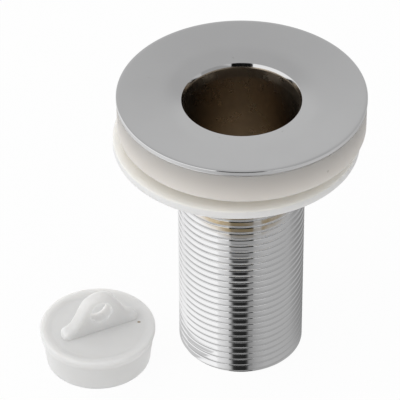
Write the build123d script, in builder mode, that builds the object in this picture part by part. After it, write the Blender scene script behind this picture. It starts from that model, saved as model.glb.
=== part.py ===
from build123d import *

import os
from math import acos, atan2, cos, hypot, radians, sin

# A basin waste for a basin with an overflow: a flanged tail with a thread for its backnut and trap, two soft
# washers pushed up under the flange, and a moulded plug standing beside it.
# Millimetres, +Z up. The origin is on the tail's axis, at its open lower end.

# Waste body
overall_height = 102.3
thread_radius = 20.955
thread_relief = 0.65
tail_chamfer = 0.65
tail_wall = 2.655
flange_radius = 40.45
flange_edge = 1.9
flange_hub_thickness = 2.65
rim_rounding = 0.35
rim_under_rounding = 0.6
crown_width = 2.4
crown_rounding = 4.0
dish_depth = 1.1
lip_width = 4.0
lip_drop = 1.0
lip_rounding = 20.0
mouth_step = 1.18
mouth_taper = 0.7
mouth_rounding = 0.35
mouth_band = 1.5
seat_depth = 3.3

# Overflow slots through the tail, one on each side, level with the basin's overflow passage
slot_width = 12.0
slot_height = 6.0
slot_corner = 1.0
slot_below_flange = 15.0

# Upper washer
washer_clearance = 0.5
upper_washer_inset = 0.15
upper_washer_side = 10.5
upper_washer_top_rounding = 0.3
upper_washer_edge_rounding = 1.0
taper_root_radius = 34.0
taper_tip_radius = 27.0
taper_depth = 3.8
taper_rounding = 0.8

# Lower washer, loose on the tail and lying to one side
lower_washer_inset = 0.3
lower_washer_thickness = 3.1
lower_washer_play = 1.9
lower_washer_shift = 1.66
lower_washer_top_rounding = 0.45
lower_washer_edge_rounding = 0.5
thread_start_gap = 0.15

# Plug
plug_x = -48.45
plug_y = -10.87
plug_turn = 25.4
plug_foot_clearance = 0.65
plug_wedge = 0.6
plug_rim_overlap = 0.02
plug_rim_thickness = 1.7
plug_rim_slope = 1.6
plug_top = 12.6
plug_rim_rise = 0.5
plug_rim_width = 1.7
plug_ramp_width = 2.0
plug_ramp_rounding = 4.0
plug_rim_rounding = 0.8
plug_soft_rounding = 1.0
plug_small_rounding = 0.5
plug_wall = 2.2
plug_top_wall = 2.6

# Lug on the plug, with the eye for its chain
lug_thickness = 5.1
lug_half_length = 13.6
lug_offset = 0.6
lug_foot_height = 2.3
lug_knee_out = 10.0
lug_knee_height = 3.7
lug_knee_rounding = 4.0
lug_foot_rounding = 2.0
lug_head_radius = 7.1
lug_head_height = 6.8
lug_edge_rounding = 1.8
eye_radius = 3.75
eye_height = 7.7
eye_edge_rounding = 0.4


def outline(*corners):
    """Closed line through (across, up, rounding) corners, added to the line that is being drawn."""
    FilletPolyline(
        [(across, up) for across, up, _ in corners],
        radius=[rounding for _, _, rounding in corners],
        close=True,
    )


# Heights and radii that follow from the sizes above
shank_radius = thread_radius - thread_relief
bore_radius = thread_radius - tail_wall
mouth_radius = bore_radius + mouth_step
crown_radius = flange_radius - crown_width
lip_radius = mouth_radius + lip_width
mouth_height = overall_height - dish_depth - lip_drop
seat_top = mouth_height - mouth_band
seat_bottom = seat_top - seat_depth
rim_underside = overall_height - flange_edge
hub_underside = overall_height - dish_depth - flange_hub_thickness
washer_bore = thread_radius + washer_clearance
upper_washer_radius = flange_radius - upper_washer_inset
lower_washer_radius = flange_radius - lower_washer_inset


def flange_underside(radius):
    """Height of the coned underside of the flange at a radius."""
    rise = (rim_underside - hub_underside) / (flange_radius - shank_radius)
    return hub_underside + rise * (radius - shank_radius)


upper_washer_ledge = flange_underside(upper_washer_radius) - upper_washer_side
washer_seat = upper_washer_ledge - taper_depth
lower_washer_base = washer_seat - lower_washer_thickness
thread_top = lower_washer_base - thread_start_gap
slot_height_centre = overall_height - slot_below_flange

with BuildPart() as waste_body:
    with BuildSketch(Plane.XZ):
        with BuildLine():
            outline(
                (bore_radius, 0, 0),
                (thread_radius - tail_chamfer, 0, 0),
                (thread_radius, tail_chamfer, 0),
                (thread_radius, thread_top, 0),
                (shank_radius, thread_top + thread_relief, 0),
                (shank_radius, hub_underside, thread_relief),
                (flange_radius, rim_underside, rim_under_rounding),
                (flange_radius, overall_height, rim_rounding),
                (crown_radius, overall_height, crown_rounding),
                (lip_radius, overall_height - dish_depth, lip_rounding),
                (mouth_radius, mouth_height, mouth_rounding),
                (mouth_radius - mouth_taper, seat_top, 0),
                (bore_radius, seat_bottom, 0),
            )
        make_face()
    revolve(axis=Axis.Z)
    with BuildSketch(Plane.YZ):
        with Locations((0, slot_height_centre)):
            RectangleRounded(slot_width, slot_height, slot_corner)
    extrude(amount=thread_radius, both=True, mode=Mode.SUBTRACT)
waste_body.part.label = "waste_body"

with BuildPart() as upper_washer:
    with BuildSketch(Plane.XZ):
        with BuildLine():
            outline(
                (washer_bore, flange_underside(washer_bore), 0),
                (upper_washer_radius, flange_underside(upper_washer_radius), upper_washer_top_rounding),
                (upper_washer_radius, upper_washer_ledge, upper_washer_edge_rounding),
                (taper_root_radius, upper_washer_ledge, taper_rounding),
                (taper_tip_radius, washer_seat, taper_rounding),
                (washer_bore, washer_seat, 0),
            )
        make_face()
    revolve(axis=Axis.Z)
upper_washer.part.label = "upper_washer"

lower_washer_axis = Axis((-lower_washer_shift, 0, 0), (0, 0, 1))
lower_washer_plane = Plane(origin=(-lower_washer_shift, 0, 0), x_dir=(1, 0, 0), z_dir=(0, -1, 0))
lower_washer_bore = thread_radius + lower_washer_play

with BuildPart() as lower_washer:
    with BuildSketch(lower_washer_plane):
        with BuildLine():
            outline(
                (lower_washer_bore, washer_seat, 0),
                (lower_washer_radius, washer_seat, lower_washer_top_rounding),
                (lower_washer_radius, lower_washer_base, lower_washer_edge_rounding),
                (lower_washer_bore, lower_washer_base, 0),
            )
        make_face()
    revolve(axis=lower_washer_axis)
lower_washer.part.label = "lower_washer"

# The plug's tapered body starts narrower than the bore and ends wide enough to wedge in the seat above it
plug_foot_radius = bore_radius - plug_foot_clearance
plug_body_radius = bore_radius + plug_wedge
plug_rim_radius = mouth_radius + plug_rim_overlap
plug_direction = Vector(cos(radians(plug_turn)), sin(radians(plug_turn)), 0)
plug_axis = Axis((plug_x, plug_y, 0), (0, 0, 1))
plug_plane = Plane(origin=(plug_x, plug_y, 0), x_dir=plug_direction, z_dir=plug_direction.rotate(Axis.Z, -90))
lug_centre = Vector(plug_x, plug_y, 0) + plug_direction * lug_offset
lug_plane = Plane(origin=lug_centre, x_dir=plug_direction, z_dir=plug_plane.z_dir)

# The flanks of the lug run from its knees to touch the round head, and would meet in a point above it
head_above_knee = lug_head_height - lug_knee_height
knee_to_head = hypot(lug_knee_out, head_above_knee)
flank_angle = acos(lug_head_radius / knee_to_head) - atan2(head_above_knee, lug_knee_out)
lug_point_height = lug_head_height + lug_head_radius / sin(flank_angle)
lug_root = plug_top - plug_top_wall / 2
plug_crown = plug_top + plug_rim_rise
rim_inner_radius = plug_rim_radius - plug_rim_width
rim_underside_height = plug_crown - plug_rim_thickness
body_top_height = rim_underside_height - plug_rim_slope
hollow_radius = plug_foot_radius - plug_wall
hollow_height = plug_top - plug_top_wall

with BuildPart() as plug:
    with BuildSketch(lug_plane):
        with BuildLine():
            outline(
                (-lug_half_length, lug_root, 0),
                (-lug_half_length, plug_top + lug_foot_height, lug_foot_rounding),
                (-lug_knee_out, plug_top + lug_knee_height, lug_knee_rounding),
                (0, plug_top + lug_point_height, lug_head_radius),
                (lug_knee_out, plug_top + lug_knee_height, lug_knee_rounding),
                (lug_half_length, plug_top + lug_foot_height, lug_foot_rounding),
                (lug_half_length, lug_root, 0),
            )
        make_face()
        with Locations((0, plug_top + eye_height)):
            Circle(eye_radius, mode=Mode.SUBTRACT)
    extrude(amount=lug_thickness / 2, both=True)
    lug_sides = plug.faces().sort_by(Axis(lug_plane.origin, lug_plane.z_dir))
    side_edges = lug_sides[0].edges() + lug_sides[-1].edges()
    eye_edges = side_edges.filter_by(GeomType.CIRCLE).filter_by(lambda edge: edge.is_closed)
    outer_edges = [edge for edge in side_edges if not edge.is_closed and edge.center().Z > plug_top]
    fillet(eye_edges, eye_edge_rounding)
    fillet(outer_edges, lug_edge_rounding)
    with BuildSketch(plug_plane):
        with BuildLine():
            outline(
                (0, hollow_height, 0),
                (hollow_radius, hollow_height, plug_soft_rounding),
                (hollow_radius, 0, 0),
                (plug_foot_radius, 0, plug_small_rounding),
                (plug_body_radius, body_top_height, plug_small_rounding),
                (plug_rim_radius, rim_underside_height, plug_small_rounding),
                (plug_rim_radius, plug_crown, plug_rim_rounding),
                (rim_inner_radius, plug_crown, plug_ramp_rounding),
                (rim_inner_radius - plug_ramp_width, plug_top, plug_ramp_rounding),
                (0, plug_top, 0),
            )
        make_face()
    revolve(axis=plug_axis)
plug.part.label = "plug"

os.makedirs("parts", exist_ok=True)
export_step(waste_body.part, "parts/waste_body.step")
export_step(upper_washer.part, "parts/upper_washer.step")
export_step(lower_washer.part, "parts/lower_washer.step")
export_step(plug.part, "parts/plug.step")
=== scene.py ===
from math import ceil, pi, radians, tan

import bmesh
import bpy
from mathutils import Matrix, Vector


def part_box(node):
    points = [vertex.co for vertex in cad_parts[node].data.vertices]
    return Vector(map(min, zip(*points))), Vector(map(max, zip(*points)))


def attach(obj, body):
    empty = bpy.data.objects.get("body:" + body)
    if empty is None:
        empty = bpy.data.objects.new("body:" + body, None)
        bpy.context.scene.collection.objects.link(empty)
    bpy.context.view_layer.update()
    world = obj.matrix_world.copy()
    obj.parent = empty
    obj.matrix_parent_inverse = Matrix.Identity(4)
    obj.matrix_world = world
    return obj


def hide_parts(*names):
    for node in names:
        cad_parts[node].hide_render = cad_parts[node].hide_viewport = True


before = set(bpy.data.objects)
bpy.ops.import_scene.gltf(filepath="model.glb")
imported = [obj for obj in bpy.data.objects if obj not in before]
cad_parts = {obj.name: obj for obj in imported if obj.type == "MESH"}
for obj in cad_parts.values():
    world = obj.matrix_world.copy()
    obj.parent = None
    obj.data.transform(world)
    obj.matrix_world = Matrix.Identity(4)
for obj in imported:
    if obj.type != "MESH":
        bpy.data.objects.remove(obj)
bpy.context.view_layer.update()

bl_info = {
    "name": "Basin Waste",
    "version": (1, 0, 0),
    "blender": (4, 5, 0),
    "location": "3D View > Sidebar > Basin Waste",
    "description": "A flanged basin waste with its washers and plug, in a plain studio",
    "category": "Object",
}

body_low, body_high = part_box("waste_body")
upper_low, upper_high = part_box("upper_washer")
lower_low, lower_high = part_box("lower_washer")
plug_low, plug_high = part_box("plug")

TURNING_STEPS = 192      # steps in a full turn of a lathe-turned outline
THREAD_STEPS = 120       # steps in one turn of the thread
FINE_ROUNDING = radians(9)
THREAD_ROUNDING = radians(24)
SMOOTH_LIMIT = radians(32)   # edges that turn further than this stay crisp
SAME_POINT = 2e-6
ON_PLANE = 1e-6
ON_CUT = 1e-7            # a point this near a cutting plane counts as on it
LONGEST_EDGE = 0.004     # longer straight runs of an outline get extra points
CARD_LIGHT = 1.25        # strength of the floor card, whose colours are shares of it


def length(name, description, default):
    """A size in metres, for the settings below."""
    return bpy.props.FloatProperty(
        name=name, description=description, default=default, precision=5, unit="LENGTH")


def colour(name, description, default):
    """A colour with its alpha."""
    return bpy.props.FloatVectorProperty(
        name=name, description=description, default=default, size=4, min=0, max=1, subtype="COLOR")


def share(name, description, default, high=1.0):
    """A number from 0 to high."""
    return bpy.props.FloatProperty(name=name, description=description, default=default, min=0, max=high)


class BodySettings(bpy.types.PropertyGroup):
    height: length("Height", "From the tail's open end to the top of the flange", body_high.z)
    flange_radius: length("Flange radius", "Outer radius of the flange", body_high.x)
    flange_edge: length("Flange edge", "Thickness of the flange at its edge", 0.0019)
    flange_hub: length("Flange hub", "Thickness of the flange where it meets the tail", 0.00265)
    rim_rounding: length("Rim rounding", "Rounding along the flange's upper edge", 0.00035)
    rim_under: length("Rim underside rounding", "Rounding along the flange's lower edge", 0.0006)
    crown_width: length("Crown width", "Flat ring round the dish", 0.0009)
    crown_rounding: length("Crown rounding", "Rounding between the crown and the dish", 0.006)
    dish_depth: length("Dish depth", "Fall of the dish from the crown to the lip", 0.0011)
    lip_width: length("Lip width", "Width of the steeper ring round the mouth", 0.004)
    lip_drop: length("Lip drop", "Fall of the lip towards the mouth", 0.001)
    lip_rounding: length("Lip rounding", "Rounding between the dish and the lip", 0.02)
    mouth_radius: length("Mouth radius", "Radius of the opening in the flange", 0.01948)
    mouth_rounding: length("Mouth rounding", "Rounding along the mouth's edge", 0.00035)
    mouth_band: length("Mouth band", "Height of the plated taper below the mouth", 0.0015)
    mouth_plated: length("Mouth plating", "How far the bright plating reaches below the mouth", 0.0011)
    mouth_taper: length("Mouth taper", "How much the plated taper narrows", 0.0007)
    seat_depth: length("Seat depth", "Height of the tapered seat that holds the plug", 0.0033)
    seat_rounding: length("Seat rounding", "Rounding above and below the seat", 0.0002)
    bore_radius: length("Bore radius", "Radius of the waterway", 0.0183)
    shank_radius: length("Shank radius", "Plain tail between the thread and the flange", 0.020305)
    thread_radius: length("Thread radius", "Radius at the crests of the thread", 0.020955)
    thread_pitch: length("Thread pitch", "From one crest of the thread to the next", 0.002607)
    thread_crest: length("Thread crest", "Width of the flat on each crest", 0.00177)
    thread_easing: length("Thread easing", "How far each crest falls away below its upper edge", 0.00036)
    thread_depth: length("Thread depth", "Depth of the groove between crests", 0.00042)
    thread_top: length("Thread top", "Height at which the thread ends", 0.08284)
    thread_phase: length("Thread phase", "Height of the first crest's lower edge at the right", -0.00025)
    slot_width: length("Slot width", "Width of each overflow slot", 0.012)
    slot_height: length("Slot height", "Height of each overflow slot", 0.006)
    slot_corner: length("Slot corner", "Rounding in the corners of the slots", 0.001)
    slot_middle: length("Slot middle", "Height of the middle of the slots", 0.0873)
    plating: colour("Plating", "Polished chrome", (0.77, 0.77, 0.775, 1))
    brass: colour("Brass", "Brass that shows through thin plating", (0.46, 0.365, 0.225, 1))
    bore_brown: colour("Bore brown", "Tarnished brass in the bore", (0.48, 0.41, 0.325, 1))


class WasherSettings(bpy.types.PropertyGroup):
    upper_radius: length("Upper washer radius", "Outer radius of the upper washer", upper_high.x)
    upper_bore: length("Upper washer bore", "Radius of the hole in the upper washer", 0.021455)
    upper_ledge: length("Ledge", "Height of the ledge that rests on the basin", 0.089886)
    taper_root: length("Taper root", "Radius of the taper at the ledge", 0.034)
    taper_tip: length("Taper tip", "Radius of the taper at its lower end", 0.027)
    upper_top: length("Upper washer top", "Rounding along the upper washer's upper edge", 0.0003)
    upper_edge: length("Upper washer edge", "Rounding along the upper washer's lower edge", 0.001)
    taper_rounding: length("Taper rounding", "Rounding at both ends of the taper", 0.0008)
    lower_radius: length(
        "Lower washer radius", "Outer radius of the lower washer", (lower_high.x - lower_low.x) / 2)
    lower_bore: length("Lower washer bore", "Radius of the hole in the lower washer", 0.022855)
    lower_rounding: length("Lower washer rounding", "Rounding along the lower washer's upper edge", 0.00045)
    lower_under: length("Lower washer underside", "Rounding along the lower washer's lower edge", 0.0005)
    upper_white: colour("Upper washer white", "Milky soft plastic, slightly warm", (0.725, 0.69, 0.65, 1))
    lower_white: colour("Lower washer white", "Milky soft plastic, warmer", (0.77, 0.765, 0.75, 1))


class PlugSettings(bpy.types.PropertyGroup):
    white: colour("Plug white", "Milky moulded plastic", (0.466, 0.466, 0.464, 1))
    # Painted light: the plug gives off its own colour as emission at this strength, in place of light coming
    # through it
    glow: share("Plug glow", "How much light comes through the plug from its far side", 0.43)
    grit: bpy.props.FloatVectorProperty(
        name="Grit", description="Place of the speck of grit beside the lug",
        default=(-0.0345, -0.0088, 0.0128), subtype="TRANSLATION", unit="LENGTH", precision=5)


class StudioSettings(bpy.types.PropertyGroup):
    camera_place: bpy.props.FloatVectorProperty(
        name="Camera place", description="Where the camera stands", default=(-0.013695, -0.741073, 0.661341),
        subtype="TRANSLATION", unit="LENGTH", precision=5)
    camera_turn: bpy.props.FloatVectorProperty(
        name="Camera turn", description="Which way the camera looks", default=(0.887606, 0.005064, -0.004122),
        subtype="EULER", unit="ROTATION", precision=5)
    camera_shift: bpy.props.FloatVectorProperty(
        name="Camera shift", description="Shift of the picture across and up, as shares of its width",
        default=(0.00065, 0.00145), size=2, precision=5)
    camera_lens: bpy.props.FloatProperty(
        name="Lens", description="Focal length on a 36 mm sensor", default=260.3, subtype="DISTANCE_CAMERA")
    paper: colour("Paper", "The floor and the backdrop", (1, 1, 1, 1))
    bounce: share("Bounce", "How much of the light on the floor comes back to the pieces", 0.7)
    shadow: share("Shadow", "How much of the floor's own shading the camera sees", 0.045)
    sky: share("Sky", "Light from the horizon", 0.70, 5)
    overhead: share("Overhead", "How much lighter it is straight above", 0.45)
    leftward: share("Leftward", "How much lighter it is at the left", 0.38)
    key: bpy.props.FloatProperty(
        name="Key lamp", description="Power of the large lamp at the left", default=3.2, min=0, unit="POWER")


# Meshes

def outline(bm, corners, closed=False, finest=FINE_ROUNDING):
    """Edges through (across, up, rounding) corners in the XZ plane, each corner rounded off to an arc."""
    verts = [bm.verts.new((across, 0, up)) for across, up, _ in corners]
    pairs = list(zip(verts, verts[1:])) + ([(verts[-1], verts[0])] if closed else [])
    for pair in pairs:
        bm.edges.new(pair)
    count = len(verts)
    roundings = []
    for index, (vert, corner) in enumerate(zip(verts, corners)):
        if corner[2] and (closed or 0 < index < count - 1):
            arriving = vert.co - verts[index - 1].co
            leaving = verts[(index + 1) % count].co - vert.co
            roundings.append((vert, corner[2], arriving.angle(leaving)))
    for vert, rounding, turn in roundings:
        bmesh.ops.bevel(
            bm, geom=[vert], offset=rounding * tan(turn / 2), offset_type="OFFSET",
            segments=max(2, ceil(turn / finest)), profile=0.5, affect="VERTICES", material=-1)


def divide_long_edges(bm, cuts):
    """Extra points along the straight runs, so that shading stays flat on them."""
    edges = [edge for edge in bm.edges if edge.calc_length() > LONGEST_EDGE]
    bmesh.ops.subdivide_edges(bm, edges=edges, cuts=cuts)


def turn_outline(bm, centre=(0, 0, 0)):
    """Turns every edge there is round the vertical axis through centre."""
    bmesh.ops.spin(
        bm, geom=bm.verts[:] + bm.edges[:], cent=centre, axis=(0, 0, 1), angle=2 * pi,
        steps=TURNING_STEPS, use_merge=True, use_duplicate=False)
    bmesh.ops.remove_doubles(bm, verts=bm.verts, dist=SAME_POINT)


def finish_piece(bm, name, replaced, materials):
    """Makes the object, with its place in its mesh and its normals outward."""
    bmesh.ops.recalc_face_normals(bm, faces=bm.faces)
    for face in bm.faces:
        face.smooth = True
    for edge in bm.edges:
        edge.smooth = edge.is_manifold and edge.calc_face_angle(0) < SMOOTH_LIMIT
    mesh = bpy.data.meshes.new(name)
    bm.to_mesh(mesh)
    bm.free()
    for material in materials:
        mesh.materials.append(material)
    piece = bpy.data.objects.new(name, mesh)
    bpy.context.scene.collection.objects.link(piece)
    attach(piece, "root")
    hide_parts(replaced)
    return piece


def cut_thread(bm, body):
    """The thread: one crest and groove, spun up the tail and trimmed square at both ends."""
    groove = body.thread_pitch - body.thread_crest
    crest_radius, root_radius = body.thread_radius, body.thread_radius - body.thread_depth
    start = body.thread_phase - body.thread_pitch
    support = 0.12 * body.thread_crest
    easing_start = body.thread_crest - body.thread_easing
    easing_rounding = 0.0003
    # The flanks are shares of the groove's depth and width, read off the photographed thread's outline
    shape = [
        (crest_radius, support, 0),
        (crest_radius, easing_start - easing_rounding / 2, 0),
        (crest_radius, easing_start, easing_rounding),
        (crest_radius - 0.31 * body.thread_depth, body.thread_crest, 0.08 * groove),
        (crest_radius - 0.84 * body.thread_depth, body.thread_crest + 0.16 * groove, 0.08 * groove),
        (root_radius, body.thread_crest + 0.72 * groove, 0.06 * groove),
        (crest_radius, body.thread_pitch, 0.15 * groove),
        (crest_radius, body.thread_pitch + support, 0),
    ]
    thread = bmesh.new()
    corners = [(across, start + up, rounding) for across, up, rounding in shape]
    outline(thread, corners, finest=THREAD_ROUNDING)
    bmesh.ops.spin(
        thread, geom=thread.verts[:] + thread.edges[:], cent=(0, 0, 0), axis=(0, 0, 1),
        dvec=(0, 0, body.thread_pitch / THREAD_STEPS), angle=2 * pi, steps=THREAD_STEPS, use_merge=False,
        use_duplicate=False)
    one_turn = thread.verts[:] + thread.edges[:] + thread.faces[:]
    for turn in range(1, ceil(body.thread_top / body.thread_pitch) + 2):
        copy = bmesh.ops.duplicate(thread, geom=one_turn)["geom"]
        copied = [item for item in copy if isinstance(item, bmesh.types.BMVert)]
        bmesh.ops.translate(thread, verts=copied, vec=(0, 0, turn * body.thread_pitch))
    bmesh.ops.remove_doubles(thread, verts=thread.verts, dist=SAME_POINT)
    for height, up in ((body.thread_radius - body.shank_radius, -1), (body.thread_top, 1)):
        bmesh.ops.bisect_plane(
            thread, geom=thread.verts[:] + thread.edges[:] + thread.faces[:], dist=ON_CUT,
            plane_co=(0, 0, height), plane_no=(0, 0, up), clear_outer=True)
    mesh = bpy.data.meshes.new("thread")
    thread.to_mesh(mesh)
    thread.free()
    bm.from_mesh(mesh)
    bpy.data.meshes.remove(mesh)


def bridge_rings(bm, height_a, height_b):
    """Joins the open edges at two heights."""
    edges = [
        edge for edge in bm.edges
        if edge.is_boundary
        and any(all(abs(v.co.z - h) < ON_PLANE for v in edge.verts) for h in (height_a, height_b))
    ]
    bmesh.ops.bridge_loops(bm, edges=edges)


def cut_slot(bm, body, side):
    """Cuts one overflow slot through the wall of the tail and rounds its corners."""
    low, high = body.slot_middle - body.slot_height / 2, body.slot_middle + body.slot_height / 2
    half = body.slot_width / 2
    planes = [((0, 0, height), (0, 0, 1)) for height in (low, high)]
    planes += [((0, across, 0), (0, 1, 0)) for across in (-half, half)]
    for place, normal in planes:
        wall = [
            face for face in bm.faces
            if face.calc_center_median().x * side > 0 and abs(face.normal.z) < 0.01
            and min(v.co.z for v in face.verts) < high and max(v.co.z for v in face.verts) > low
            and max(v.co.xy.length for v in face.verts) < body.shank_radius + 1e-5
            and abs(face.calc_center_median().y) < body.slot_width
        ]
        geom = wall + list({e for f in wall for e in f.edges}) + list({v for f in wall for v in f.verts})
        bmesh.ops.bisect_plane(bm, geom=geom, dist=ON_CUT, plane_co=place, plane_no=normal)
    inside = [
        face for face in bm.faces
        if face.calc_center_median().x * side > 0 and abs(face.calc_center_median().y) < half
        and low < face.calc_center_median().z < high
    ]
    bmesh.ops.delete(bm, geom=inside, context="FACES")
    rims = [
        edge for edge in bm.edges
        if edge.is_boundary and all(low - ON_PLANE < v.co.z < high + ON_PLANE for v in edge.verts)
    ]
    bridged = bmesh.ops.bridge_loops(bm, edges=rims)
    corners = [
        edge for edge in {e for f in bridged["faces"] for e in f.edges}
        if abs(abs((edge.verts[0].co - edge.verts[1].co).normalized().x) - 1) < 0.05
        and all(abs(abs(v.co.y) - half) < ON_PLANE for v in edge.verts)
        and all(min(abs(v.co.z - low), abs(v.co.z - high)) < ON_PLANE for v in edge.verts)
    ]
    bmesh.ops.bevel(
        bm, geom=corners, offset=body.slot_corner, offset_type="OFFSET", segments=4, profile=0.5,
        affect="EDGES", material=-1)


# Materials

def add_node(tree, kind, inputs=None, **settings):
    """A shader node with its inputs linked or set."""
    node = tree.nodes.new("ShaderNode" + kind)
    for name, value in settings.items():
        setattr(node, name, value)
    for name, value in (inputs or {}).items():
        if isinstance(value, bpy.types.NodeSocket):
            tree.links.new(value, node.inputs[name])
        else:
            node.inputs[name].default_value = value
    return node


def ramp(tree, value, low, high, to_low=0.0, to_high=1.0, smooth=True):
    """value from low to high, carried to to_low and to_high."""
    numbers = {"Value": value, "From Min": low, "From Max": high, "To Min": to_low, "To Max": to_high}
    node = add_node(tree, "MapRange", numbers, interpolation_type="SMOOTHSTEP" if smooth else "LINEAR")
    return node.outputs["Result"]


def combine(tree, operation, first, second, clamp=True):
    """One sum of two values, kept between 0 and 1 unless clamp is off."""
    inputs = {0: first, 1: second}
    return add_node(tree, "Math", inputs, operation=operation, use_clamp=clamp).outputs[0]


def tint(tree, mask, first, second):
    """The colour first where mask is 0, second where it is 1."""
    return add_node(tree, "Mix", {0: mask, 6: first, 7: second}, data_type="RGBA").outputs[2]


def choose(tree, mask, first, second):
    """The number first where mask is 0, second where it is 1."""
    return add_node(tree, "Mix", {0: mask, 2: first, 3: second}, data_type="FLOAT").outputs[0]


def new_group(name, inputs, output):
    """A node group with a Vector and the named numbers going in and one value coming out."""
    group = bpy.data.node_groups.new(name, "ShaderNodeTree")
    group.interface.new_socket("Vector", in_out="INPUT", socket_type="NodeSocketVector")
    for socket, default in inputs.items():
        number = group.interface.new_socket(socket, in_out="INPUT", socket_type="NodeSocketFloat")
        number.default_value = default
    group.interface.new_socket(output, in_out="OUTPUT", socket_type="NodeSocketFloat")
    start, end = group.nodes.new("NodeGroupInput"), group.nodes.new("NodeGroupOutput")
    return group, start.outputs, end.inputs[output]


def hairlines_group():
    """Fine straight scratches, broken up so that few of them run far."""
    group, given, result = new_group("Hairlines", {"Scale": 150.0, "Amount": 0.5}, "Mask")
    cells = add_node(
        group, "TexVoronoi", {"Vector": given["Vector"], "Scale": given["Scale"]}, feature="DISTANCE_TO_EDGE")
    line = ramp(group, cells.outputs["Distance"], 0.0, 0.02, 1.0, 0.0)
    breaks = add_node(group, "TexNoise", {"Vector": given["Vector"], "Scale": given["Scale"], "Detail": 1.0})
    gate = ramp(group, breaks.outputs["Fac"], 0.55, 0.7)
    shown = combine(group, "MULTIPLY", combine(group, "MULTIPLY", line, gate), given["Amount"])
    group.links.new(shown, result)
    return group


def specks_group():
    """Small round specks in a few of many cells."""
    group, given, result = new_group("Specks", {"Scale": 150.0, "Size": 0.1, "Share": 0.05}, "Mask")
    cells = add_node(group, "TexVoronoi", {"Vector": given["Vector"], "Scale": given["Scale"]})
    chance = add_node(group, "SeparateColor", {"Color": cells.outputs["Color"]})
    chosen = combine(group, "LESS_THAN", chance.outputs["Red"], given["Share"])
    size = combine(group, "MULTIPLY", given["Size"], ramp(group, chance.outputs["Green"], 0, 1, 0.4, 1.0))
    spot = combine(group, "LESS_THAN", cells.outputs["Distance"], size)
    group.links.new(combine(group, "MULTIPLY", chosen, spot), result)
    return group


def mottle_group():
    """Soft cloudy variation between 0 and 1."""
    group, given, result = new_group("Mottle", {"Scale": 60.0, "Detail": 3.0, "Contrast": 0.2}, "Value")
    noise = add_node(
        group, "TexNoise",
        {"Vector": given["Vector"], "Scale": given["Scale"], "Detail": given["Detail"], "Roughness": 0.55})
    low = combine(group, "SUBTRACT", 0.5, given["Contrast"])
    high = combine(group, "ADD", 0.5, given["Contrast"])
    spread = add_node(
        group, "MapRange", {"Value": noise.outputs["Fac"], "From Min": low, "From Max": high},
        interpolation_type="SMOOTHSTEP")
    group.links.new(spread.outputs["Result"], result)
    return group


def effect(tree, maker, vector, **numbers):
    """Places one of the shared groups in a material, making it first if it isn't there yet."""
    name = maker.__name__.removesuffix("_group").capitalize()
    group = bpy.data.node_groups.get(name) or maker()
    node = tree.nodes.new("ShaderNodeGroup")
    node.node_tree = group
    tree.links.new(vector, node.inputs["Vector"])
    for socket, value in numbers.items():
        node.inputs[socket].default_value = value
    return node.outputs[0]


def new_material(name):
    """A material with its tree, its Principled shader and the object's own coordinates."""
    material = bpy.data.materials.new(name)
    material.use_nodes = True
    tree = material.node_tree
    shader = tree.nodes["Principled BSDF"]
    place = tree.nodes.new("ShaderNodeTexCoord").outputs["Object"]
    return material, tree, shader, place


def polished_plating(body, name="Polished plating", worn_and_shaded=False):
    """Bright chrome with hairline scratches; where worn_and_shaded is set, thin patches of plating and
    painted shade along the thread's grooves.
    """
    material, tree, shader, place = new_material(name)
    scratches = effect(tree, hairlines_group, place, Scale=110.0, Amount=0.6)
    specks = effect(tree, specks_group, place, Scale=400.0, Size=0.1, Share=0.06)
    haze = effect(tree, mottle_group, place, Scale=45.0, Detail=4.0, Contrast=0.25)
    hazy = [0.93 * c for c in body.plating[:3]] + [1]
    surface = tint(tree, ramp(tree, haze, 0, 1, 0, 0.35), body.plating, hazy)
    surface = tint(tree, ramp(tree, specks, 0, 1, 0, 0.45), surface, (0.22, 0.2, 0.18, 1))
    if worn_and_shaded:
        surface = tint(tree, thin_patch(tree, place, body), surface, body.brass)
        # Painted shade: the plating darkens along the bottom of the thread's groove
        surface = tint(tree, groove_grime(tree, place, body), surface, (0.12, 0.11, 0.1, 1))
    tree.links.new(surface, shader.inputs["Base Color"])
    smoothness = ramp(tree, haze, 0, 1, 0.055, 0.085)
    roughness = combine(tree, "ADD", smoothness, ramp(tree, scratches, 0, 1, 0, 0.12))
    tree.links.new(roughness, shader.inputs["Roughness"])
    bump = add_node(tree, "Bump", {"Height": scratches, "Strength": 0.25, "Distance": 0.00001})
    bump.invert = True
    tree.links.new(bump.outputs["Normal"], shader.inputs["Normal"])
    shader.inputs["Metallic"].default_value = 1.0
    return material


def length_of(tree, vector):
    """Distance from the origin."""
    return add_node(tree, "VectorMath", {0: vector}, operation="LENGTH").outputs["Value"]


def within(tree, place, centre, reach):
    """Distance from a centre, where 1 is an ellipsoid of that reach along each axis."""
    inputs = {"Vector": place, "Location": centre, "Scale": reach}
    return length_of(tree, add_node(tree, "Mapping", inputs, vector_type="TEXTURE").outputs["Vector"])


def radius_of(tree, place):
    """Distance from the vertical axis."""
    parts = add_node(tree, "SeparateXYZ", {0: place}).outputs
    return length_of(tree, add_node(tree, "CombineXYZ", {"X": parts["X"], "Y": parts["Y"]}).outputs["Vector"])


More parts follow.
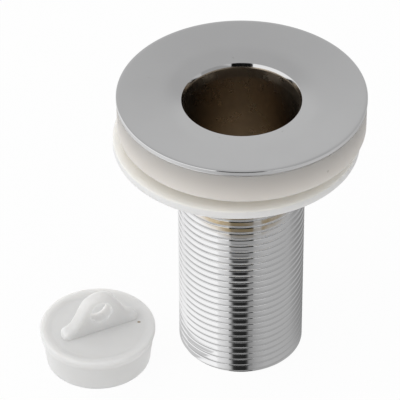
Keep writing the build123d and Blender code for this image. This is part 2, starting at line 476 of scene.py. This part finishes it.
def thin_patch(tree, place, body):
    """Mask of the thin plating on the crests of a few turns below the washers, at the front."""
    centre = (0, -body.thread_radius, 0.067)
    reach = ramp(tree, within(tree, place, centre, (0.0185, 0.02, 0.0093)), 0.5, 1.0, 1.0, 0.0)
    parts = add_node(tree, "SeparateXYZ", {0: place}).outputs
    radius = radius_of(tree, place)
    crest = ramp(tree, radius, body.thread_radius - 0.00012, body.thread_radius - 0.00004)
    from_gap = combine(tree, "ABSOLUTE", combine(tree, "SUBTRACT", parts["X"], 0.0049, False), 0)
    gap = ramp(tree, from_gap, 0.0008, 0.0018, 0.35, 1.0)
    cloud = effect(tree, mottle_group, place, Scale=260.0, Detail=3.0, Contrast=0.16)
    mask = combine(tree, "MULTIPLY", combine(tree, "MULTIPLY", reach, crest), gap)
    return combine(tree, "MULTIPLY", mask, ramp(tree, cloud, 0, 1, 0.7, 1.0))


def groove_grime(tree, place, body):
    """Mask of the painted shade along the bottom of the thread's groove, darkest at its root."""
    darkest = body.thread_radius - 0.8 * body.thread_depth
    unshaded = body.thread_radius - 0.65 * body.thread_depth
    return ramp(tree, radius_of(tree, place), darkest, unshaded, 0.14, 0.0)


def tarnished_brass(body):
    """Bare brass of the bore, brown and mottled, with a limescale spot."""
    material, tree, shader, place = new_material("Tarnished brass")
    clouds = effect(tree, mottle_group, place, Scale=90.0, Detail=5.0, Contrast=0.22)
    specks = effect(tree, specks_group, place, Scale=420.0, Size=0.35, Share=0.03)
    dark = [0.8 * c for c in body.bore_brown[:3]] + [1]
    surface = tint(tree, clouds, dark, body.bore_brown)
    surface = tint(tree, ramp(tree, specks, 0, 1, 0, 0.6), surface, (0.3, 0.27, 0.22, 1))
    tree.links.new(surface, shader.inputs["Base Color"])
    tree.links.new(ramp(tree, clouds, 0, 1, 0.32, 0.24), shader.inputs["Roughness"])
    shader.inputs["Specular Tint"].default_value = (0.35, 0.29, 0.22, 1)
    bump = add_node(tree, "Bump", {"Height": clouds, "Strength": 0.1, "Distance": 0.00002})
    tree.links.new(bump.outputs["Normal"], shader.inputs["Normal"])
    shader.inputs["Metallic"].default_value = 1.0
    return material


def milky_plastic(name, white, depth, grit=None, painted_shade=None, glow=0.0):
    """Soft polythene with a faint moulded skin, lit through to a depth.

    painted_shade is (low, high, shares of the colour left at high), painted shade that grows from low to
    high. glow is the strength of painted light: the plastic gives off its own colour as emission, standing in
    for light coming through from behind.
    """
    material, tree, shader, place = new_material(name)
    clouds = effect(tree, mottle_group, place, Scale=55.0, Detail=4.0, Contrast=0.25)
    skin = effect(tree, mottle_group, place, Scale=900.0, Detail=2.0, Contrast=0.3)
    scuffs = effect(tree, hairlines_group, place, Scale=90.0, Amount=0.5)
    specks = effect(tree, specks_group, place, Scale=300.0, Size=0.14, Share=0.012)
    surface = tint(tree, clouds, [0.965 * c for c in white[:3]] + [1], white)
    surface = tint(tree, ramp(tree, specks, 0, 1, 0, 0.5), surface, (0.34, 0.3, 0.25, 1))
    # Painted shade: the colour changes with height, from low to high
    if painted_shade is not None:
        height = add_node(tree, "SeparateXYZ", {0: place}).outputs["Z"]
        shaded_colour = [part * c for part, c in zip(painted_shade[2], white)] + [1]
        surface = tint(tree, ramp(tree, height, painted_shade[0], painted_shade[1], 0.0, 1.0), surface, shaded_colour)
    if grit is not None:
        reach = within(tree, place, grit, (0.0007, 0.0005, 0.0006))
        surface = tint(tree, ramp(tree, reach, 0.7, 1.1, 0.85, 0.0), surface, (0.15, 0.1, 0.035, 1))
    # Painted light: the plastic gives off its own colour as emission, glowing though it is no lamp
    if glow:
        tree.links.new(surface, shader.inputs["Emission Color"])
        shader.inputs["Emission Strength"].default_value = glow
    tree.links.new(surface, shader.inputs["Base Color"])
    roughness = combine(tree, "ADD", ramp(tree, clouds, 0, 1, 0.36, 0.44), ramp(tree, scuffs, 0, 1, 0, 0.1))
    tree.links.new(roughness, shader.inputs["Roughness"])
    height = combine(tree, "ADD", ramp(tree, skin, 0, 1, 0, 0.5), ramp(tree, scuffs, 0, 1, 0, 0.5))
    bump = add_node(tree, "Bump", {"Height": height, "Strength": 0.3, "Distance": 0.00002})
    tree.links.new(bump.outputs["Normal"], shader.inputs["Normal"])
    shader.inputs["Subsurface Weight"].default_value = 1.0
    shader.inputs["Subsurface Radius"].default_value = (1.0, 0.95, 0.88)
    shader.inputs["Subsurface Scale"].default_value = depth
    shader.inputs["IOR"].default_value = 1.5
    return material


def paper_floor(studio):
    """White paper. The camera and reflections see it as bright as it is, with a little of its shading."""
    material, tree, shader, place = new_material("Paper")
    shader.inputs["Base Color"].default_value = [studio.bounce * c for c in studio.paper[:3]] + [1]
    shader.inputs["Roughness"].default_value = 0.9
    glow = add_node(tree, "Emission", {"Color": studio.paper})
    path = tree.nodes.new("ShaderNodeLightPath").outputs
    mirrored = combine(tree, "MAXIMUM", path["Is Glossy Ray"], path["Is Transmission Ray"])
    seen = combine(tree, "MAXIMUM", path["Is Camera Ray"], mirrored)
    share_of_glow = combine(tree, "MULTIPLY", seen, 1 - studio.shadow)
    mix = add_node(
        tree, "MixShader", {0: share_of_glow, 1: shader.outputs["BSDF"], 2: glow.outputs["Emission"]})
    tree.links.new(mix.outputs["Shader"], tree.nodes["Material Output"].inputs["Surface"])
    return material


def reflector(name, brightness):
    """A card's material: plain light of one brightness."""
    material = bpy.data.materials.new(name)
    material.use_nodes = True
    tree = material.node_tree
    tree.nodes.remove(tree.nodes["Principled BSDF"])
    glow = add_node(tree, "Emission", {"Color": (brightness, brightness, brightness, 1)})
    tree.links.new(glow.outputs["Emission"], tree.nodes["Material Output"].inputs["Surface"])
    return material


def levels_around(tree, angle, stops):
    """A brightness for each direction, from (degrees, brightness) stops, as a share of CARD_LIGHT."""
    around = add_node(tree, "ValToRGB", {"Fac": ramp(tree, angle, -pi, pi, 0.0, 1.0, False)})
    elements = around.color_ramp.elements
    elements.remove(elements[1])
    elements[0].position, elements[0].color = 0.5 + stops[0][0] / 360, (*[stops[0][1] / CARD_LIGHT] * 3, 1)
    for degrees, level in stops[1:]:
        elements.new(0.5 + degrees / 360).color = (*[level / CARD_LIGHT] * 3, 1)
    return around.outputs["Color"]


def shaded_floor(body):
    """The floor as the plating mirrors it: dark towards the camera, white at the left, grey at the right."""
    material = reflector("Shaded card", 1.0)
    tree = material.node_tree
    spot = tree.nodes.new("ShaderNodeTexCoord").outputs["Object"]
    place = add_node(tree, "SeparateXYZ", {0: spot}).outputs
    backward = combine(tree, "ADD", place["Y"], body.thread_radius / 2, False)
    angle = combine(tree, "ARCTAN2", place["X"], combine(tree, "MULTIPLY", backward, -1.0, False), False)
    near = levels_around(tree, angle, [
        (-137, 0.95), (-115, 1.06), (-90, 1.16), (-45, 1.17), (-41, 0.96), (-31, 0.83), (-23, 0.68),
        (-19.5, 0.45), (-15, 0.05), (-10, 0.025), (7, 0.02), (10.5, 0.06), (14, 0.3), (20.5, 0.37),
        (28, 0.45), (43, 0.525), (66, 0.52), (83, 0.49), (92, 0.46), (102, 0.38), (113, 0.31), (127, 0.26)])
    outer = levels_around(tree, angle, [
        (-121, 0.76), (-84, 0.81), (-66, 0.79), (-47, 0.67), (-28, 0.57), (-9, 0.5), (11, 0.5), (30, 0.53),
        (49, 0.58), (68, 0.6), (86, 0.59), (105, 0.55), (123, 0.5)])
    distance = length_of(tree, spot)
    level = combine(tree, "MAXIMUM", near, ramp(tree, distance, 0.076, 0.086, 0.0, 0.36 / CARD_LIGHT), False)
    at_foot = ramp(tree, distance, 0.0275, 0.0305, 0.6, 1.0)
    foot_shadow = combine(tree, "MAXIMUM", at_foot, ramp(tree, place["X"], -0.019, -0.015))
    level = combine(tree, "MULTIPLY", level, foot_shadow, False)
    level = tint(tree, ramp(tree, distance, 0.1, 0.13), level, outer)
    in_bore = combine(tree, "LESS_THAN", distance, body.bore_radius + 0.001)
    level = tint(tree, in_bore, level, (0.75, 0.75, 0.75, 1))
    tree.links.new(level, tree.nodes["Emission"].inputs["Color"])
    tree.nodes["Emission"].inputs["Strength"].default_value = CARD_LIGHT
    return material


# Studio

def stage_sheet(name, corners, material, reflected_only=True):
    """A flat sheet of the studio. A card shows only in reflections."""
    bm = bmesh.new()
    bm.faces.new([bm.verts.new(corner) for corner in corners])
    mesh = bpy.data.meshes.new(name)
    bm.to_mesh(mesh)
    bm.free()
    mesh.materials.append(material)
    sheet = bpy.data.objects.new(name, mesh)
    bpy.context.scene.collection.objects.link(sheet)
    if reflected_only:
        for ray in ("camera", "diffuse", "shadow", "transmission"):
            setattr(sheet, "visible_" + ray, False)
    return sheet


def place_camera(scene, studio):
    """The camera, far off with a long lens."""
    data = bpy.data.cameras.new("Camera")
    data.lens, data.sensor_width, data.clip_start, data.clip_end = studio.camera_lens, 36, 0.05, 20
    data.shift_x, data.shift_y = studio.camera_shift
    camera = bpy.data.objects.new("Camera", data)
    camera.location, camera.rotation_euler = studio.camera_place, studio.camera_turn
    scene.collection.objects.link(camera)
    scene.camera = camera


def lay_sheets(body, studio):
    """The paper, and the cards and screens that the plating mirrors."""
    wide, reach, low, high = 3, 0.19, 0.0001, 0.0002
    stage_sheet("Paper_floor", [
        (-wide, -wide, 0), (wide, -wide, 0), (wide, wide, 0), (-wide, wide, 0),
    ], paper_floor(studio), reflected_only=False)
    stage_sheet("Grey_floor", [
        (0.15, 0, low), (0.85, -2.5, low), (wide, -2.5, low), (wide, wide, low), (0.15, wide, low),
    ], reflector("Grey card", 0.48))
    stage_sheet("Floor_card", [
        (-reach, -reach, high), (reach, -reach, high), (reach, reach, high), (-reach, reach, high),
    ], shaded_floor(body))
    stage_sheet("Front_floor", [
        (-0.075, -0.19, low), (-0.11, -0.28, low), (0.13, -0.28, low), (0.09, -0.19, low),
    ], reflector("Front card", 0.45))
    stage_sheet("Dark_floor", [
        (-0.11, -0.28, high), (-0.34, -0.9, high), (0.29, -0.9, high), (0.1, -0.28, high),
    ], reflector("Dark floor", 0.005))
    stage_sheet("White_screen", [
        (-0.34, -0.9, 0), (-1.2, -0.5, 0), (-1.2, -0.5, 0.8), (-0.34, -0.9, 0.65),
    ], reflector("White card", 1.0))
    stage_sheet("Far_white_screen", [
        (-1.2, -0.5, 0), (-1.2, 0.9, 0), (-1.2, 0.9, 0.8), (-1.2, -0.5, 0.8),
    ], reflector("Far white card", 1.0))
    stage_sheet("Grey_screen", [
        (0.29, -0.9, 0), (1.2, -0.3, 0), (1.2, -0.3, 0.45), (0.29, -0.9, 0.35),
    ], reflector("Grey screen", 0.36))
    stage_sheet("Dark_screen", [
        (-0.34, -0.9, 0), (0.29, -0.9, 0), (0.29, -0.9, 1.1), (-0.34, -0.9, 1.1),
    ], reflector("Dark screen", 0.005))


def hang_key_lamp(scene, studio):
    """The large lamp at the left, aimed at the upper half of the waste."""
    data = bpy.data.lights.new("Key", "AREA")
    data.shape, data.size, data.size_y, data.energy = "RECTANGLE", 1.0, 0.8, studio.key
    key = bpy.data.objects.new("Key", data)
    place, aim = Vector((-1.15, -0.5, 1.3)), Vector((0, 0, 0.08))
    turn = (place - aim).to_track_quat("Z", "Y").to_matrix().to_4x4()
    key.matrix_world = Matrix.Translation(place) @ turn
    key.visible_glossy = False
    scene.collection.objects.link(key)


def light_world(scene, studio):
    """Light from all round, brighter overhead and at the left: grey in the plating, white to the camera."""
    world = bpy.data.worlds.new("Studio")
    scene.world = world
    world.use_nodes = True
    tree = world.node_tree
    tree.nodes.clear()
    direction = tree.nodes.new("ShaderNodeTexCoord").outputs["Generated"]
    across = add_node(tree, "SeparateXYZ", {0: direction}).outputs
    rightward = combine(tree, "MULTIPLY", across["X"], 0.35)
    lean = combine(tree, "ADD", rightward, combine(tree, "MULTIPLY", across["Z"], 0.67))
    mirrored = ramp(tree, lean, 0.33, 0.52, 0.577, 0.455)
    overhead = combine(tree, "MULTIPLY", combine(tree, "MAXIMUM", across["Z"], 0), studio.overhead)
    leftward = combine(tree, "MULTIPLY", across["X"], -studio.leftward, False)
    light = combine(tree, "ADD", combine(tree, "ADD", overhead, studio.sky, False), leftward, False)
    path = tree.nodes.new("ShaderNodeLightPath").outputs
    level = choose(tree, path["Is Camera Ray"], choose(tree, path["Is Glossy Ray"], light, mirrored), 1.0)
    background = add_node(tree, "Background", {"Strength": level})
    background.inputs["Color"].default_value = studio.paper
    out = tree.nodes.new("ShaderNodeOutputWorld")
    tree.links.new(background.outputs["Background"], out.inputs["Surface"])


# Operators

class BASINWASTE_OT_add_body(bpy.types.Operator):
    """Make the waste's body: flange, mouth, seat, bore, overflow slots and threaded tail"""
    bl_idname = "basin_waste.add_body"
    bl_label = "Add waste body"

    def execute(self, context):
        body = context.scene.waste_body_settings
        top, lip_height = body.height, body.height - body.dish_depth
        mouth_height = lip_height - body.lip_drop
        seat_top = mouth_height - body.mouth_band
        hub_height = lip_height - body.flange_hub
        relief = body.thread_radius - body.shank_radius
        plated = body.mouth_plated / body.mouth_band
        bm = bmesh.new()
        outline(bm, [
            (body.shank_radius, body.thread_top + relief, 0),
            (body.shank_radius, hub_height, relief),
            (body.flange_radius, top - body.flange_edge, body.rim_under),
            (body.flange_radius, top, body.rim_rounding),
            (body.flange_radius - body.crown_width, top, body.crown_rounding),
            (body.mouth_radius + body.lip_width, lip_height, body.lip_rounding),
            (body.mouth_radius, mouth_height, body.mouth_rounding),
            (body.mouth_radius - body.mouth_taper * plated, mouth_height - body.mouth_band * plated, 0),
            (body.mouth_radius - body.mouth_taper, seat_top, body.seat_rounding),
            (body.bore_radius, seat_top - body.seat_depth, body.seat_rounding),
            (body.bore_radius, 0, 0),
            (body.shank_radius, 0, 0),
        ])
        divide_long_edges(bm, 5)
        turn_outline(bm)
        for side in (-1, 1):
            cut_slot(bm, body, side)
        cut_thread(bm, body)
        bridge_rings(bm, 0, relief)
        bridge_rings(bm, body.thread_top, body.thread_top + relief)
        inside = body.shank_radius - 0.0002
        for face in bm.faces:
            middle = face.calc_center_median()
            if ON_PLANE < middle.z < mouth_height - body.mouth_plated and middle.xy.length < inside:
                face.material_index = 1
            elif middle.z < body.thread_top + relief:
                face.material_index = 2
        materials = [
            polished_plating(body), tarnished_brass(body), polished_plating(body, "Plated thread", worn_and_shaded=True)]
        finish_piece(bm, "threaded_flange_casting", "waste_body", materials)
        return {"FINISHED"}


class BASINWASTE_OT_add_upper_washer(bpy.types.Operator):
    """Make the thick tapered washer under the flange"""
    bl_idname = "basin_waste.add_upper_washer"
    bl_label = "Add upper washer"

    def execute(self, context):
        body, washers = context.scene.waste_body_settings, context.scene.waste_washer_settings
        hub_height = body.height - body.dish_depth - body.flange_hub
        rise = (body.height - body.flange_edge - hub_height) / (body.flange_radius - body.shank_radius)
        inner_top = hub_height + rise * (washers.upper_bore - body.shank_radius)
        outer_top = hub_height + rise * (washers.upper_radius - body.shank_radius)
        bm = bmesh.new()
        outline(bm, [
            (washers.upper_bore, inner_top, 0),
            (washers.upper_radius, outer_top, washers.upper_top),
            (washers.upper_radius, washers.upper_ledge, washers.upper_edge),
            (washers.taper_root, washers.upper_ledge, washers.taper_rounding),
            (washers.taper_tip, upper_low.z, washers.taper_rounding),
            (washers.upper_bore, upper_low.z, 0),
        ], closed=True)
        divide_long_edges(bm, 3)
        turn_outline(bm)
        # Painted shade: the washer's colour darkens to 0.68 of itself from the ledge up to the flange
        shade = (washers.upper_ledge, upper_high.z, (0.68, 0.68, 0.68))
        material = milky_plastic("Washer polythene", washers.upper_white, 0.006, painted_shade=shade)
        finish_piece(bm, "tapered_washer", "upper_washer", [material])
        return {"FINISHED"}


class BASINWASTE_OT_add_lower_washer(bpy.types.Operator):
    """Make the flat washer, lying loose on the tail"""
    bl_idname = "basin_waste.add_lower_washer"
    bl_label = "Add lower washer"

    def execute(self, context):
        washers = context.scene.waste_washer_settings
        shift = (lower_low.x + lower_high.x) / 2
        bm = bmesh.new()
        outline(bm, [
            (shift + washers.lower_bore, lower_high.z, 0),
            (shift + washers.lower_radius, lower_high.z, washers.lower_rounding),
            (shift + washers.lower_radius, lower_low.z, washers.lower_under),
            (shift + washers.lower_bore, lower_low.z, 0),
        ], closed=True)
        divide_long_edges(bm, 3)
        turn_outline(bm, (shift, 0, 0))
        # Painted shade: the top face is tinted warm, standing in for the bounce light in the shaded gap under
        # the upper washer
        warm_shade = (lower_high.z - 0.0006, lower_high.z - 0.0001, (1.04, 1.0, 0.93))
        material = milky_plastic("Flat washer polythene", washers.lower_white, 0.012, painted_shade=warm_shade)
        finish_piece(bm, "flat_washer", "lower_washer", [material])
        return {"FINISHED"}


class BASINWASTE_OT_finish_plug(bpy.types.Operator):
    """Give the moulded plug its milky plastic"""
    bl_idname = "basin_waste.finish_plug"
    bl_label = "Finish plug"

    def execute(self, context):
        settings = context.scene.waste_plug_settings
        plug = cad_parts["plug"]
        # The plug's plastic glows with painted light at the strength of settings.glow
        material = milky_plastic("Plug polythene", settings.white, 0.009, settings.grit, glow=settings.glow)
        for slot in plug.material_slots:
            slot.material = material
        plug.visible_glossy = False
        return {"FINISHED"}


class BASINWASTE_OT_set_studio(bpy.types.Operator):
    """Lay the paper, hang the lamps and place the camera"""
    bl_idname = "basin_waste.set_studio"
    bl_label = "Set studio"

    def execute(self, context):
        studio = context.scene.waste_studio_settings
        context.scene.view_settings.view_transform = "Standard"
        place_camera(context.scene, studio)
        lay_sheets(context.scene.waste_body_settings, studio)
        hang_key_lamp(context.scene, studio)
        light_world(context.scene, studio)
        return {"FINISHED"}


class BASINWASTE_PT_panel(bpy.types.Panel):
    """Lists the pieces of the waste"""
    bl_label = "Basin Waste"
    bl_idname = "BASINWASTE_PT_panel"
    bl_space_type = "VIEW_3D"
    bl_region_type = "UI"
    bl_category = "Basin Waste"

    def draw(self, context):
        for operator in OPERATORS:
            self.layout.operator(operator.bl_idname)
        for settings in SETTINGS:
            group = getattr(context.scene, settings)
            box = self.layout.box()
            for name in type(group).__annotations__:
                box.prop(group, name)


SETTINGS = {
    "waste_body_settings": BodySettings,
    "waste_washer_settings": WasherSettings,
    "waste_plug_settings": PlugSettings,
    "waste_studio_settings": StudioSettings,
}
OPERATORS = (
    BASINWASTE_OT_set_studio,
    BASINWASTE_OT_add_body,
    BASINWASTE_OT_add_upper_washer,
    BASINWASTE_OT_add_lower_washer,
    BASINWASTE_OT_finish_plug,
)


def register():
    for cls in (*SETTINGS.values(), *OPERATORS, BASINWASTE_PT_panel):
        bpy.utils.register_class(cls)
    for name, cls in SETTINGS.items():
        setattr(bpy.types.Scene, name, bpy.props.PointerProperty(type=cls))


def unregister():
    for name in SETTINGS:
        delattr(bpy.types.Scene, name)
    for cls in (BASINWASTE_PT_panel, *reversed(OPERATORS), *reversed(SETTINGS.values())):
        bpy.utils.unregister_class(cls)


def main():
    register()
    bpy.ops.basin_waste.set_studio()
    bpy.ops.basin_waste.add_body()
    bpy.ops.basin_waste.add_upper_washer()
    bpy.ops.basin_waste.add_lower_washer()
    bpy.ops.basin_waste.finish_plug()


if __name__ == "__main__":
    main()
